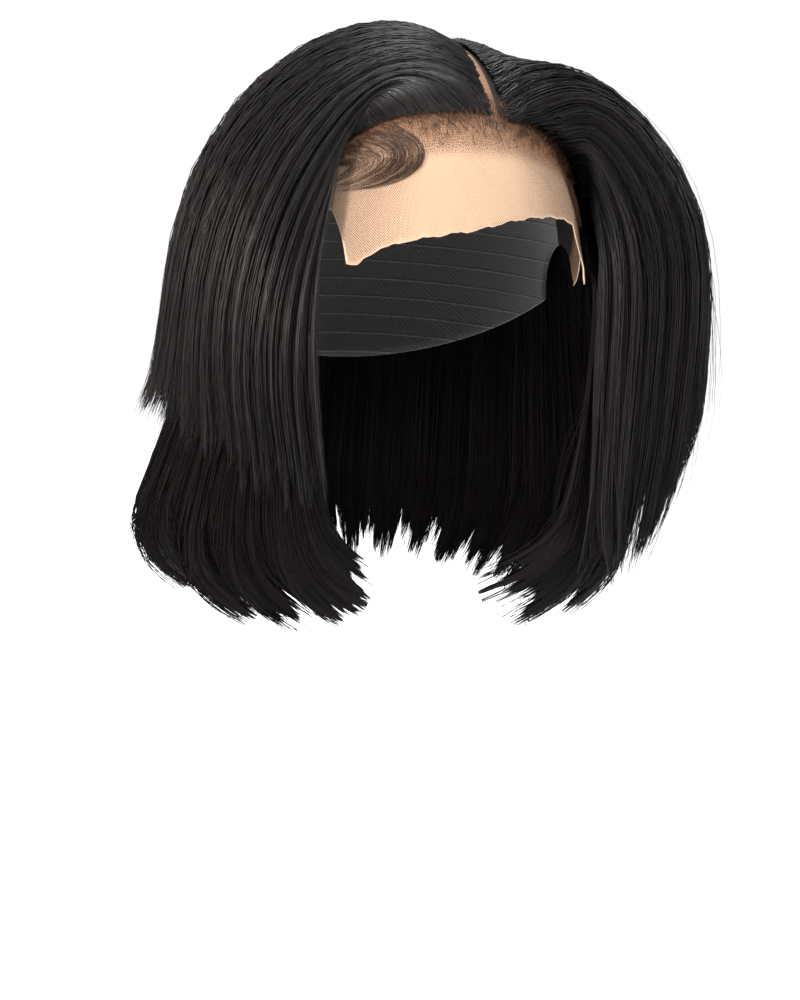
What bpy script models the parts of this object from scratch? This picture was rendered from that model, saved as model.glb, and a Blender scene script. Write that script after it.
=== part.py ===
"""A lace front bob wig, parted left of centre, as it is worn. Metres, +Z up.

The origin is the inside of the cap's crown, where the top of a head carries the wig. The face side is -Y and
the wearer's left is +X. Azimuths are in degrees about Z, 0 at the face and positive on the wearer's left.
The hair is made in two layers of curtains, cut into locks. Each curtain is a loft: a row of closed sections,
each of which follows a strand from its root to its tip and comes back on the inner side.
"""

import math
import random
from collections import namedtuple

import bmesh
import bpy
from mathutils import Vector

# The head that the cap is made for: an ellipsoid from the crown to its widest level, straight below that.
HEAD_WIDTH = 0.154
HEAD_DEPTH = 0.196
CROWN_HEIGHT = 0.108

# The cap and the lace that is sewn to its front edge.
CAP_WALL = 0.0015
LACE_WALL = 0.0010
PIECE_GAP = 0.0003

# Hair: how far it stands off the head, how far it drops below the widest level, how thick its layers are.
# A strand has left its root at the share SETTLED of its length, and at the height FREE nothing holds it out.
# From the share TAPERED on, a layer thins towards its tips, and its edges thin over the share THIN_EDGE.
VOLUME = 0.040
DROP = 0.150
OVER_THICKNESS = 0.010
UNDER_THICKNESS = 0.010
EDGE_THICKNESS = 0.0045
TIP_THICKNESS = 0.0045
LEAST_THICKNESS = 0.0025
ROOT_HEIGHT = 0.0032
LAYER_GAP = 0.0030
SETTLED = 0.08
FREE = -1
TAPERED = 0.55
THIN_EDGE = 0.12

# The parting, left of centre, and how far back it runs.
PART_OFFSET = 0.015
PART_WIDTH = 0.004
PART_FRONT = -0.068
PART_BACK = 0.026

# Locks: how deep the grooves between them are, from the share GROOVED of their length on, how uneven their
# tips and their lengths are, and the slit between two curtains.
LOCK_GROOVE = 0.0034
GROOVED = 0.3
UNEVEN = 0.035
TIP_STEP = 0.012
CURTAIN_SLIT = 0.0022

# The fine hair at the front: a strip along the hairline, a swirl at the right temple, a wisp at the left.
FINE_THICKNESS = 0.0015
FINE_TEETH = 24
FINE_TOOTH = 0.0027
SWIRL_WIDTH = 0.010
WISP_WIDTH = 0.008

HALF_WIDTH = HEAD_WIDTH / 2
HALF_DEPTH = HEAD_DEPTH / 2
HEAD_CENTRE = Vector((0, 0, -CROWN_HEIGHT))

# Where the over layer's strands run. root: share of the root line, which follows the hairline from the temple
# to the parting and then runs back beside the parting. crown_az, crown_tilt: where they cross the crown.
# side_az, end_az: azimuths at the widest level and at the tip. Heights off the head are shares of VOLUME, and
# the drop is a share of DROP.
Over = namedtuple(
    "Over", "root crown_az crown_tilt side_az end_az crown shoulder side cheek jaw end drop"
)
OVER_RIGHT = (
    Over(0.00, -43, 56, -42, -36, 0.14, 0.28, 0.36, 0.46, 0.36, 0.12, 0.56),
    Over(0.12, -39, 46, -48, -44, 0.20, 0.44, 0.56, 0.66, 0.52, 0.28, 0.60),
    Over(0.26, -40, 39, -56, -52, 0.38, 0.68, 0.68, 0.76, 0.62, 0.34, 0.58),
    Over(0.42, -54, 38, -66, -64, 0.53, 0.80, 0.76, 0.82, 0.72, 0.50, 0.52),
    Over(0.56, -82, 38, -86, -88, 0.60, 0.81, 0.76, 0.81, 0.86, 0.98, 0.44),
    Over(0.70, -112, 38, -110, -114, 0.60, 0.77, 0.74, 0.80, 0.87, 1.06, 0.42),
    Over(0.84, -148, 38, -144, -148, 0.52, 0.73, 0.76, 0.84, 0.88, 0.94, 0.44),
    Over(1.00, -186, 40, -179.7, -179.7, 0.42, 0.64, 0.75, 0.84, 0.84, 0.82, 0.50),
)
OVER_LEFT = (
    Over(0.00, 56, 66, 50, 48, 0.16, 0.26, 0.26, 0.30, 0.24, 0.10, 0.82),
    Over(0.12, 52, 57, 56, 56, 0.50, 0.76, 0.72, 0.74, 0.62, 0.50, 0.88),
    Over(0.26, 50, 49, 63, 63, 0.90, 1.34, 1.26, 1.26, 1.20, 0.94, 0.85),
    Over(0.40, 57, 44, 74, 74, 0.92, 1.60, 1.56, 1.66, 1.60, 1.16, 0.64),
    Over(0.54, 80, 41, 88, 88, 0.50, 1.24, 1.53, 1.77, 1.80, 1.34, 0.52),
    Over(0.68, 108, 39, 108, 110, 0.33, 0.78, 1.16, 1.42, 1.46, 1.20, 0.52),
    Over(0.84, 144, 38, 140, 142, 0.30, 0.56, 0.84, 1.02, 1.04, 0.94, 0.50),
    Over(1.00, 174, 40, 179.7, 179.7, 0.42, 0.64, 0.75, 0.84, 0.84, 0.82, 0.50),
)

# Where the under layer's strands run, from the sides of the cap down to the lowest tips: from the right cheek
# round the back, at azimuth -180, to the left cheek.
Under = namedtuple("Under", "azimuth turn root_tilt side cheek jaw bulge end drop")
UNDER = (
    Under(-47, 17, 80, 0.10, 0.16, 0.18, 0.04, -0.90, 0.89),
    Under(-56, 10, 74, 0.20, 0.30, 0.42, 0.40, -0.40, 1.00),
    Under(-72, 6, 68, 0.30, 0.42, 0.68, 0.86, 0.02, 1.01),
    Under(-92, 0, 64, 0.34, 0.50, 0.80, 1.12, 0.30, 0.98),
    Under(-118, 0, 62, 0.36, 0.54, 0.82, 1.16, 0.38, 1.01),
    Under(-146, 0, 62, 0.36, 0.56, 0.72, 0.84, 0.24, 1.02),
    Under(-180, 0, 62, 0.36, 0.56, 0.66, 0.66, 0.10, 1.03),
    Under(-212, 0, 62, 0.44, 0.64, 0.72, 0.66, 0.10, 1.04),
    Under(-242, 0, 62, 0.58, 0.84, 0.94, 0.80, 0.20, 1.05),
    Under(-268, 0, 66, 0.70, 1.00, 1.14, 1.06, 0.54, 1.04),
    Under(-286, 0, 72, 0.54, 0.80, 0.92, 0.88, 0.28, 1.03),
    Under(-298, -6, 78, 0.30, 0.44, 0.50, 0.44, -0.36, 1.00),
    Under(-304, -12, 82, 0.10, 0.16, 0.20, 0.10, -0.90, 0.94),
)
UNDER_DROPS = (0.32, 0.60, 0.85, 1.0)
UNDER_TURNS = (0.0, 0.2, 0.5, 1.0)

# Each layer's curtains: the two places along its table where each is cut, and how many locks it has. BESIDE
# is how far away, along the table, the strand lies that tells which way a strand faces.
Curtain = namedtuple("Curtain", "name first last locks")
RIGHT_CURTAINS = (
    Curtain("over_right_front", 0.00, 0.37, 7),
    Curtain("over_right_side", 0.37, 0.62, 5),
    Curtain("over_right_back", 0.62, 1.00, 7),
)
LEFT_CURTAINS = (
    Curtain("over_left_front", 0.00, 0.38, 7),
    Curtain("over_left_side", 0.38, 0.66, 6),
    Curtain("over_left_back", 0.66, 1.00, 6),
)
UNDER_CURTAINS = (
    Curtain("under_right", 0.00, 0.36, 8),
    Curtain("under_back", 0.36, 0.66, 7),
    Curtain("under_left", 0.66, 1.00, 8),
)
LOCK_COLUMNS = 3
BESIDE = 0.004

# The line where dense hair starts, the front of the fine hair before it, and the lace's cut edge, as angles
# about the ear-to-ear axis: lateral is 0 in the middle and 90 at the wearer's left ear, and rise is 0 level
# with the head's centre and 90 at the crown.
Edge = namedtuple("Edge", "lateral rise")
HAIRLINE = (
    Edge(-44, 42), Edge(-36, 45), Edge(-24, 46), Edge(-8, 45), Edge(12, 45), Edge(22, 46), Edge(34, 48),
    Edge(46, 50), Edge(54, 49), Edge(60, 45),
)
FINE_FRONT = (
    Edge(-38, 42), Edge(-20, 42.5), Edge(-12, 37), Edge(10, 37), Edge(26, 39), Edge(42, 42), Edge(50, 42),
)
FINE_SETBACK = 2
LACE_EDGE = (
    Edge(-80, 6), Edge(-70, 20), Edge(-60, 28), Edge(-50, 29), Edge(-43, 27), Edge(-40, 18),
    Edge(-38, 10.5), Edge(-35.5, 9.5), Edge(-29, 13.5), Edge(-20, 15), Edge(0, 17), Edge(16, 20.5),
    Edge(34, 24), Edge(46, 26), Edge(50, 17), Edge(52, 8), Edge(55, 6), Edge(58, 14),
    Edge(61, 26), Edge(70, 20), Edge(80, 6),
)
LACE_SEAM_RISE = 98
SEAM_MARGIN = 6
NAPE_RISE = 206
EAR_LATERAL = 80

# The laid hair at the right temple and the wisp at the left one: the lines that they follow on the lace.
SWIRL_RIGHT = (
    Edge(-29, 37.5), Edge(-20, 37), Edge(-15.5, 33), Edge(-20, 29.5), Edge(-30, 28.5), Edge(-41, 30),
)
WISP_LEFT = (Edge(44, 37), Edge(50, 33), Edge(54, 27))

# The root line: its share along the hairline, and the temple where it starts on each side.
HAIRLINE_SHARE = 0.30
TEMPLE_LATERAL = {-1: -41, 1: 58}

# A top strand's two places between its root, its crown point and the widest level, as shares of the way, how
# high it stands at the first, and how far each side's front hair is swept back there before it turns aside.
RISE_MIX = 0.38
RISE_HEIGHT = 0.62
SHOULDER_MIX = 0.58
FRONT_SWEEP = {-1: 0.10, 1: 0.0}
SWEPT_SHARE = 0.5


def cleared_scene():
    for item in list(bpy.data.objects):
        bpy.data.objects.remove(item)


def finish(name, colour, roughness):
    """The part's own material: a Principled BSDF with the colour and gloss of the real surface."""
    material = bpy.data.materials.new(name)
    material.use_nodes = True
    shader = material.node_tree.nodes["Principled BSDF"]
    shader.inputs["Base Color"].default_value = (*colour, 1)
    shader.inputs["Roughness"].default_value = roughness
    shader.inputs["Metallic"].default_value = 0
    return material


def direction(azimuth, tilt):
    """A unit vector: azimuth from the face, tilt down from the crown, both in degrees."""
    turn, lean = math.radians(azimuth), math.radians(tilt)
    return Vector((math.sin(turn) * math.sin(lean), -math.cos(turn) * math.sin(lean), math.cos(lean)))


def edge_direction(lateral, rise):
    """A unit vector by its angles about the ear-to-ear axis, in degrees."""
    side, up = math.radians(lateral), math.radians(rise)
    return Vector((math.sin(side), -math.cos(side) * math.cos(up), math.cos(side) * math.sin(up)))


def rise_of(unit):
    """The rise of a unit vector, in degrees."""
    return math.degrees(math.atan2(unit.z, -unit.y))


def steepness(unit):
    """The head's gradient at a unit vector: its length turns a share of the radius into a height."""
    return Vector((unit.x / HALF_WIDTH, unit.y / HALF_DEPTH, unit.z / CROWN_HEIGHT))


def off_head(unit, height):
    """The point at this height off the head ellipsoid, in a unit direction of the head's own proportions."""
    on_head = Vector((unit.x * HALF_WIDTH, unit.y * HALF_DEPTH, unit.z * CROWN_HEIGHT))
    return HEAD_CENTRE + on_head + steepness(unit).normalized() * height


def below_head(azimuth, height, drop):
    """The point at this height off the head's straight sides, this far below its widest level."""
    return off_head(direction(azimuth, 90), height) - Vector((0, 0, drop))


def head_place(point):
    """A point's place: its unit vector on the head, its drop below the widest level and its height."""
    above = max(0, point.z - HEAD_CENTRE.z)
    scaled = Vector((point.x / HALF_WIDTH, point.y / HALF_DEPTH, above / CROWN_HEIGHT))
    unit = scaled.normalized()
    return unit, max(0, HEAD_CENTRE.z - point.z), (scaled.length - 1) / steepness(unit).length


def catmull_rom(values, t):
    """A smooth curve through values[1] and values[2], which may be numbers or vectors."""
    before, start, end, after = values
    return (
        start
        + (end - before) * (0.5 * t)
        + (before * 2 - start * 5 + end * 4 - after) * (0.5 * t * t)
        + (start * 3 - before - end * 3 + after) * (0.5 * t * t * t)
    )


def along(points, t):
    """The point at t, from 0 to 1, of a smooth curve through evenly numbered points."""
    last = len(points) - 1
    place = min(max(t, 0), 1) * last
    first = min(int(place), last - 1)
    near = [points[min(max(first + step, 0), last)] for step in (-1, 0, 1, 2)]
    return catmull_rom(near, place - first)


def mixed(rows, share):
    """A row of a table between its rows, smoothly, at a share of the way from the first row to the last."""
    return type(rows[0])(*[along([row[column] for row in rows], share) for column in range(len(rows[0]))])


def between(pairs, value):
    """The second number at this value of the first, straight between the pairs of a rising list."""
    for (low, start), (high, end) in zip(pairs, pairs[1:]):
        if value <= high:
            return start + (end - start) * min(max((value - low) / (high - low), 0), 1)
    return pairs[-1][1]


def part_root(share, side):
    """Where hair starts beside the parting: side is -1 on the wearer's right of it and +1 on the left."""
    y = PART_FRONT + (PART_BACK - PART_FRONT) * share
    width = PART_WIDTH * (1 - 0.5 * share)
    unit = Vector(((PART_OFFSET + side * width / 2) / HALF_WIDTH, y / HALF_DEPTH, 0))
    unit.z = math.sqrt(1 - unit.x**2 - unit.y**2)
    return unit


def root_place(share, side):
    """A strand's root: from the temple along the hairline to the parting, then back beside the parting."""
    if share >= HAIRLINE_SHARE:
        return part_root((share - HAIRLINE_SHARE) / (1 - HAIRLINE_SHARE), side)
    corner = part_root(0, side)
    corner_lateral = math.degrees(math.asin(corner.x))
    to_corner = share / HAIRLINE_SHARE
    temple = TEMPLE_LATERAL[side]
    lateral = temple + (corner_lateral - temple) * to_corner
    rise = between(HAIRLINE, lateral)
    rise += (rise_of(corner) - rise) * to_corner**3
    return edge_direction(lateral, rise)


def over_controls(rows, side, share, length):
    """The points that an over layer strand passes through, root first."""
    row = mixed(rows, share)
    root = root_place(min(max(row.root, 0), 1), side)
    crown = direction(row.crown_az, row.crown_tilt)
    widest = direction(row.side_az, 90)
    swept = math.sin(math.pi * min(1, max(0, share) / SWEPT_SHARE)) * FRONT_SWEEP[side]
    rise = (root * (1 - RISE_MIX) + crown * RISE_MIX + Vector((0, swept, swept / 2))).normalized()
    shoulder = (crown * (1 - SHOULDER_MIX) + widest * SHOULDER_MIX).normalized()
    drop = row.drop * DROP * length
    turn = row.end_az - row.side_az
    return [
        off_head(root, ROOT_HEIGHT),
        off_head(rise, ROOT_HEIGHT + (row.crown * VOLUME - ROOT_HEIGHT) * RISE_HEIGHT),
        off_head(crown, row.crown * VOLUME),
        off_head(shoulder, row.shoulder * VOLUME),
        off_head(widest, row.side * VOLUME),
        below_head(row.side_az + turn * 0.4, row.cheek * VOLUME, drop * 0.40),
        below_head(row.side_az + turn * 0.75, row.jaw * VOLUME, drop * 0.76),
        below_head(row.end_az, row.end * VOLUME, drop),
    ]


def under_row(azimuth):
    """The under layer's table at an azimuth, smoothly between its rows."""
    places = [(-row.azimuth, number / (len(UNDER) - 1)) for number, row in enumerate(UNDER)]
    return mixed(UNDER, between(places, -azimuth))


def under_controls(share, length):
    """The points that an under layer strand passes through, root first."""
    azimuth = UNDER[0].azimuth + (UNDER[-1].azimuth - UNDER[0].azimuth) * share
    row = under_row(azimuth)
    drop = row.drop * DROP * length
    points = [
        off_head(direction(azimuth, row.root_tilt), ROOT_HEIGHT),
        off_head(direction(azimuth, 90), row.side * VOLUME),
    ]
    heights = (row.cheek, row.jaw, row.bulge, row.end)
    for fall, turn, height in zip(UNDER_DROPS, UNDER_TURNS, heights):
        points.append(below_head(azimuth + row.turn * turn, height * VOLUME, drop * fall))
    return points


def skin_height(unit):
    """The outer side of the lace, or of the cap behind its seam."""
    return LACE_WALL if 0 < rise_of(unit) < LACE_SEAM_RISE - SEAM_MARGIN else CAP_WALL


def under_top(unit, drop):
    """How high the under layer stands where an over layer strand passes, from its roots down."""
    azimuth = math.degrees(math.atan2(unit.x, -unit.y))
    azimuth -= 360 if azimuth > 0 else 0
    row = under_row(azimuth)
    if drop > 0:
        turned = between([(0, 0), *zip(UNDER_DROPS, UNDER_TURNS)], drop / (row.drop * DROP))
        row = under_row(azimuth - row.turn * turned)
        falls = [fall * row.drop * DROP for fall in UNDER_DROPS]
        heights = [height * VOLUME for height in (row.cheek, row.jaw, row.bulge, row.end)]
        return between([(0, row.side * VOLUME), *zip(falls, heights)], drop)
    tilt = math.degrees(math.acos(min(1, unit.z)))
    return between([(row.root_tilt - 8, 0), (row.root_tilt, ROOT_HEIGHT), (90, row.side * VOLUME)], tilt)


def over_floor(point, t):
    """The least height of the over layer's inner side: clear of lace, cap, fine hair and under layer."""
    unit, drop, _ = head_place(point)
    lateral = math.degrees(math.asin(unit.x))
    settled = min(1, t / SETTLED)
    floor = skin_height(unit) + PIECE_GAP + LAYER_GAP * settled
    if drop == 0 and rise_of(unit) < between(HAIRLINE, lateral):
        floor += FINE_THICKNESS * settled
    return max(floor, under_top(unit, drop) + LAYER_GAP) if settled == 1 else floor


def under_floor(point, t):
    """The least height of the under layer's inner side: clear of the cap, and free below it."""
    _, drop, _ = head_place(point)
    settled = min(1, t / SETTLED)
    return CAP_WALL + PIECE_GAP + LAYER_GAP * settled if drop < CROWN_HEIGHT / 2 else FREE


def raised(point, least):
    """The point, moved out to at least this height off the head."""
    unit, _, height = head_place(point)
    return point + steepness(unit).normalized() * max(0, least - height)


def section_of(controls_at, floor_of, share, ahead, crest, thickness):
    """One closed section of a curtain: down the outer side of a strand, round its tip and back up inside it.
    crest is 1 on the ridge of a lock and 0 in the groove between two."""
    here = controls_at(share)
    beside = controls_at(share + ahead)
    turned = 1 if ahead > 0 else -1

    def outward(t):
        tangent = along(here, t + 0.01) - along(here, t - 0.01)
        across = (along(beside, t) - along(here, t)) * turned
        return tangent.cross(across).normalized()

    middle = along(here, 0.5)
    facing = 1 if outward(0.5).dot(middle - Vector((0, 0, middle.z))) > 0 else -1
    section = []
    for t in ROWS_OUT:
        groove = LOCK_GROOVE * (1 - crest) * min(1, t / GROOVED)
        point = along(here, t) - outward(t) * facing * groove
        least = floor_of(point, t) + LEAST_THICKNESS * min(1, t / SETTLED)
        section.append(raised(point, least))
    for t in ROWS_IN:
        taper = max(0, (t - TAPERED) / (1 - TAPERED))
        depth = thickness + (min(TIP_THICKNESS, thickness) - thickness) * taper
        point = along(here, t) - outward(t) * facing * depth
        section.append(raised(point, floor_of(point, t)))
    return section


ROWS_OUT = (0, 0.05, 0.11, 0.18, 0.26, 0.35, 0.45, 0.56, 0.67, 0.78, 0.88, 0.95, 1)
ROWS_IN = (0.985, 0.87, 0.73, 0.58, 0.44, 0.30, 0.17, 0.06, 0)


def end_faces(ring, outer_count):
    """Triangles that fill a section, zipped between its outer side and its inner side."""
    outer, inner = ring[:outer_count], ring[outer_count:][::-1]
    here, there = 0, 0
    while here < len(outer) - 1 or there < len(inner) - 1:
        outer_next = (here + 1) / (len(outer) - 1) if here < len(outer) - 1 else 2
        inner_next = (there + 1) / (len(inner) - 1) if there < len(inner) - 1 else 2
        if outer_next <= inner_next:
            yield outer[here], outer[here + 1], inner[there]
            here += 1
        else:
            yield outer[here], inner[there + 1], inner[there]
            there += 1


def lofted(name, sections, outer_count, material):
    """A closed solid through closed sections that all have as many points, with its two ends filled. The
    first outer_count points of a section are its outer side; the others come back along its inner side."""
    mesh = bpy.data.meshes.new(name)
    shape = bmesh.new()
    rings = [[shape.verts.new(point) for point in section] for section in sections]
    for ring, following in zip(rings, rings[1:]):
        for corner in range(len(ring)):
            after = (corner + 1) % len(ring)
            shape.faces.new((ring[corner], ring[after], following[after], following[corner]))
    for triangle in end_faces(rings[0], outer_count):
        shape.faces.new(triangle)
    for triangle in end_faces(rings[-1], outer_count):
        shape.faces.new(triangle)
    bmesh.ops.triangulate(shape, faces=shape.faces)
    bmesh.ops.recalc_face_normals(shape, faces=shape.faces)
    shape.to_mesh(mesh)
    shape.free()
    mesh.materials.append(material)
    solid = bpy.data.objects.new(name, mesh)
    bpy.context.scene.collection.objects.link(solid)
    mesh.shade_smooth()
    mesh.set_sharp_from_angle(angle=math.radians(50))
    return solid


def lock_columns(curtain, slit, seed):
    """(share, crest, length) of each column of a curtain. Every lock is a little longer or shorter."""
    chance = random.Random(seed)
    first, last = curtain.first + slit / 2, curtain.last - slit / 2
    lock_share = (last - first) / curtain.locks
    columns = []
    for lock in range(curtain.locks):
        length = 1 + chance.uniform(-UNEVEN, UNEVEN)
        for column in range(LOCK_COLUMNS):
            phase = column / LOCK_COLUMNS
            columns.append((first + lock_share * (lock + phase), math.sin(math.pi * phase), length))
    columns.append((last, 0, 1))
    return columns


def make_curtain(curtain, controls_of, floor_of, thickness, seed, material, last_is_free=False):
    """A curtain of locks. It thins out towards its layer's first edge, and towards a last one that is free."""
    half_way_round = math.pi * ((HALF_WIDTH + HALF_DEPTH) / 2 + VOLUME)
    slit = CURTAIN_SLIT / half_way_round
    sections = []
    for share, crest, length in lock_columns(curtain, slit, seed):
        shortened = length * (1 - TIP_STEP / DROP * (1 - crest))
        from_edge = min(share, 1 - share) if last_is_free else share
        depth = between([(0, EDGE_THICKNESS), (THIN_EDGE, thickness)], from_edge)

        def controls_at(place, length=shortened):
            return controls_of(place, length)

        ahead = BESIDE if share < 0.5 else -BESIDE
        sections.append(section_of(controls_at, floor_of, share, ahead, crest, depth))
    return lofted(curtain.name, sections, len(ROWS_OUT), material)


def make_over_layer(material):
    for side, rows, curtains in ((-1, OVER_RIGHT, RIGHT_CURTAINS), (1, OVER_LEFT, LEFT_CURTAINS)):

        def controls_of(share, length, side=side, rows=rows):
            return over_controls(rows, side, share, length)

        for number, curtain in enumerate(curtains):
            make_curtain(curtain, controls_of, over_floor, OVER_THICKNESS, number, material)


def make_under_layer(material):
    for number, curtain in enumerate(UNDER_CURTAINS):
        make_curtain(curtain, under_controls, under_floor, UNDER_THICKNESS, 10 + number, material, True)


def shell_patch(name, laterals, rises_at, steps, wall, material):
    """A cloth patch on the head: rises_at gives the rises of its two edges at a lateral angle."""
    sections = []
    for lateral in laterals:
        low, high = rises_at(lateral)
        rises = [low + (high - low) * step / steps for step in range(steps + 1)]
        outer = [off_head(edge_direction(lateral, rise), wall) for rise in rises]
        inner = [off_head(edge_direction(lateral, rise), 0) for rise in reversed(rises)]
        sections.append(outer + inner)
    return lofted(name, sections, steps + 1, material)


def make_lace(material):
    evenly = {EAR_LATERAL * step / 10 for step in range(-10, 11)}
    laterals = sorted(evenly | {edge.lateral for edge in LACE_EDGE})
    seam = LACE_SEAM_RISE - math.degrees(PIECE_GAP / CROWN_HEIGHT)

    def rises_at(lateral):
        return between(LACE_EDGE, lateral), seam

    return shell_patch("lace_front", laterals, rises_at, 6, LACE_WALL, material)


def make_cap(material):
    laterals = [EAR_LATERAL * step / 12 for step in range(-12, 13)]

    def rises_at(lateral):
        return LACE_SEAM_RISE, NAPE_RISE

    return shell_patch("wig_cap", laterals, rises_at, 8, CAP_WALL, material)


def laid_strip(name, line, width, steps, material):
    """A tapered strip of fine hair that lies on the lace along a line, with ridges along it."""
    floor = LACE_WALL + PIECE_GAP
    units = [edge_direction(*point) for point in line]
    sections = []
    for step in range(steps + 1):
        t = step / steps
        here = along(units, t).normalized()
        tangent = (along(units, t + 0.01) - along(units, t - 0.01)).normalized()
        across = tangent.cross(here).normalized()
        half = width / 2 / HALF_DEPTH * (0.08 + math.sin(math.pi * min(1, 0.12 + 0.86 * t)) ** 0.8)
        top = []
        for place, height in ((-1, 0.35), (-0.5, 1), (0, 0.7), (0.5, 1), (1, 0.35)):
            unit = (here + across * (half * place)).normalized()
            top.append(off_head(unit, floor + FINE_THICKNESS * height))
        base = [off_head((here + across * (half * place)).normalized(), floor) for place in (1, 0, -1)]
        sections.append(top + base)
    return lofted(name, sections, len(top), material)


def make_hairline(material):
    """The strip of short, single hairs along the front hairline, saw-toothed at its front edge."""
    floor = LACE_WALL + PIECE_GAP
    tooth = math.degrees(FINE_TOOTH / HALF_DEPTH)
    first, last = FINE_FRONT[0].lateral, FINE_FRONT[-1].lateral
    sections = []
    for step in range(FINE_TEETH * 2 + 1):
        lateral = first + (last - first) * step / (FINE_TEETH * 2)
        back = between(HAIRLINE, lateral) - FINE_SETBACK
        front = between(FINE_FRONT, lateral) - (tooth if step % 2 else 0)
        rises = [front, (front + back) / 2, back]
        outer = [
            off_head(edge_direction(lateral, rise), floor + FINE_THICKNESS * height)
            for rise, height in zip(rises, (0.3, 1, 0.4))
        ]
        inner = [off_head(edge_direction(lateral, rise), floor) for rise in (rises[-1], rises[0])]
        sections.append(outer + inner)
    return lofted("hairline_strip", sections, len(outer), material)


def main():
    cleared_scene()
    hair = finish("black_hair", (0.012, 0.011, 0.011), 0.38)
    fine_hair = finish("fine_hair", (0.045, 0.028, 0.020), 0.5)
    lace = finish("sheer_lace", (0.80, 0.56, 0.38), 0.7)
    net = finish("cap_net", (0.02, 0.018, 0.017), 0.8)
    make_lace(lace)
    make_cap(net)
    make_hairline(fine_hair)
    laid_strip("edge_swirl_right", SWIRL_RIGHT, SWIRL_WIDTH, 14, fine_hair)
    laid_strip("edge_wisp_left", WISP_LEFT, WISP_WIDTH, 8, fine_hair)
    make_over_layer(hair)
    make_under_layer(hair)


main()
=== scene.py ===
"""A lace front bob wig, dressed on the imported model's frame. Metres, +Z up, the face side is -Y.

The script follows the wig as it is put together: the net cap, the lace that is sewn to its front, the lower
hair, the top hair on both sides of the parting, and the fine hair laid at the hairline and the temples.
"""

import math
import random
from collections import namedtuple

import bmesh
import bpy
from mathutils import Matrix, Vector


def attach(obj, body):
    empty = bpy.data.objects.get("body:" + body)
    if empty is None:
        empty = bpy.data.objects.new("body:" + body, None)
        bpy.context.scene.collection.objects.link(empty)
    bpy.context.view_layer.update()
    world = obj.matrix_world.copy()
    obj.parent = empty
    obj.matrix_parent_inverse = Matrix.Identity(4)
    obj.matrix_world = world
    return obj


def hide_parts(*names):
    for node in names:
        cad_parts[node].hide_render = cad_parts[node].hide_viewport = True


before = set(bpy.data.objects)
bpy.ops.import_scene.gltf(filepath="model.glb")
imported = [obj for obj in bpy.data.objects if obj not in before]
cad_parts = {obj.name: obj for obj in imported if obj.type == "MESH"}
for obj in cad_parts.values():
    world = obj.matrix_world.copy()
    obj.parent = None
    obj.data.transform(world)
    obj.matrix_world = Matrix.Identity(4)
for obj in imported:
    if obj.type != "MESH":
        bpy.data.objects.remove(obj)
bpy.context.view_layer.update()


# Wig cap: a dome of fine black stretch net from the crown to the nape. It is knitted in one piece, and the
# wefts of hair are stitched to it in level rows. Its front edge is sewn to the lace from ear to ear.

HEAD_WIDTH = 0.154
HEAD_DEPTH = 0.196
CROWN_HEIGHT = 0.108
HALF_WIDTH = HEAD_WIDTH / 2
HALF_DEPTH = HEAD_DEPTH / 2
HEAD_CENTRE = Vector((0, 0, -CROWN_HEIGHT))
CAP_WALL = 0.0015
CAP_NET = 0.0007
SEAM_RISE = 98
NAPE_RISE = 206
EAR_LATERAL = 80
CAP_COLUMNS = 80
CAP_ROWS = 44
WEFT_PITCH = 0.009
CAP_BLACK = (0.012, 0.011, 0.011)
WEFT_BROWN = (0.030, 0.024, 0.021)


class Wire:
    """A socket in a node tree. Arithmetic on it adds Math nodes, and made() adds a node of any other kind."""

    def __init__(self, tree, socket=None):
        self.tree = tree
        self.socket = socket

    def made(self, kind, settings=(), sockets=(), output=0):
        node = self.tree.nodes.new(kind)
        for name, value in dict(settings).items():
            setattr(node, name, value)
        for key, value in dict(sockets).items():
            if isinstance(value, Wire):
                self.tree.links.new(value.socket, node.inputs[key])
            else:
                node.inputs[key].default_value = value
        return Wire(self.tree, node.outputs[output] if node.outputs else None)

    def beside(self, output):
        """Another output of the node that this socket is on."""
        return Wire(self.tree, self.socket.node.outputs[output])

    def maths(self, operation, *values):
        return self.made("ShaderNodeMath", {"operation": operation}, dict(enumerate((self, *values))))

    def vector(self, operation, value):
        return self.made("ShaderNodeVectorMath", {"operation": operation}, {0: self, 1: value})

    def times(self, factor):
        """A vector, scaled."""
        return self.made("ShaderNodeVectorMath", {"operation": "SCALE"}, {0: self, 3: factor})

    def smooth(self, low, high):
        """0 up to low, 1 from high on, and a soft step between them."""
        settings = {"interpolation_type": "SMOOTHSTEP"}
        return self.made("ShaderNodeMapRange", settings, {"Value": self, "From Min": low, "From Max": high})

    def colours(self, low, high):
        """The colour low where this value is 0 and high where it is 1. Each may be a wire."""
        ends = [end if isinstance(end, Wire) else (*end, 1) for end in (low, high)]
        return self.made("ShaderNodeMix", {"data_type": "RGBA"}, {0: self, 6: ends[0], 7: ends[1]}, 2)

    def __add__(self, other):
        return self.maths("ADD", other)

    def __sub__(self, other):
        return self.maths("SUBTRACT", other)

    def __mul__(self, other):
        return self.maths("MULTIPLY", other)

    def __truediv__(self, other):
        return self.maths("DIVIDE", other)

    def __pow__(self, other):
        return self.maths("POWER", other)

    def __rsub__(self, other):
        return self.made("ShaderNodeMath", {"operation": "SUBTRACT"}, {0: other, 1: self})

    __radd__ = __add__
    __rmul__ = __mul__


def edge_direction(lateral, rise):
    """A unit vector by its angles about the ear-to-ear axis: lateral 90 at the left ear, rise 90 on top."""
    side, up = math.radians(lateral), math.radians(rise)
    return Vector((math.sin(side), -math.cos(side) * math.cos(up), math.cos(side) * math.sin(up)))


def steepness(unit):
    return Vector((unit.x / HALF_WIDTH, unit.y / HALF_DEPTH, unit.z / CROWN_HEIGHT))


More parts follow.
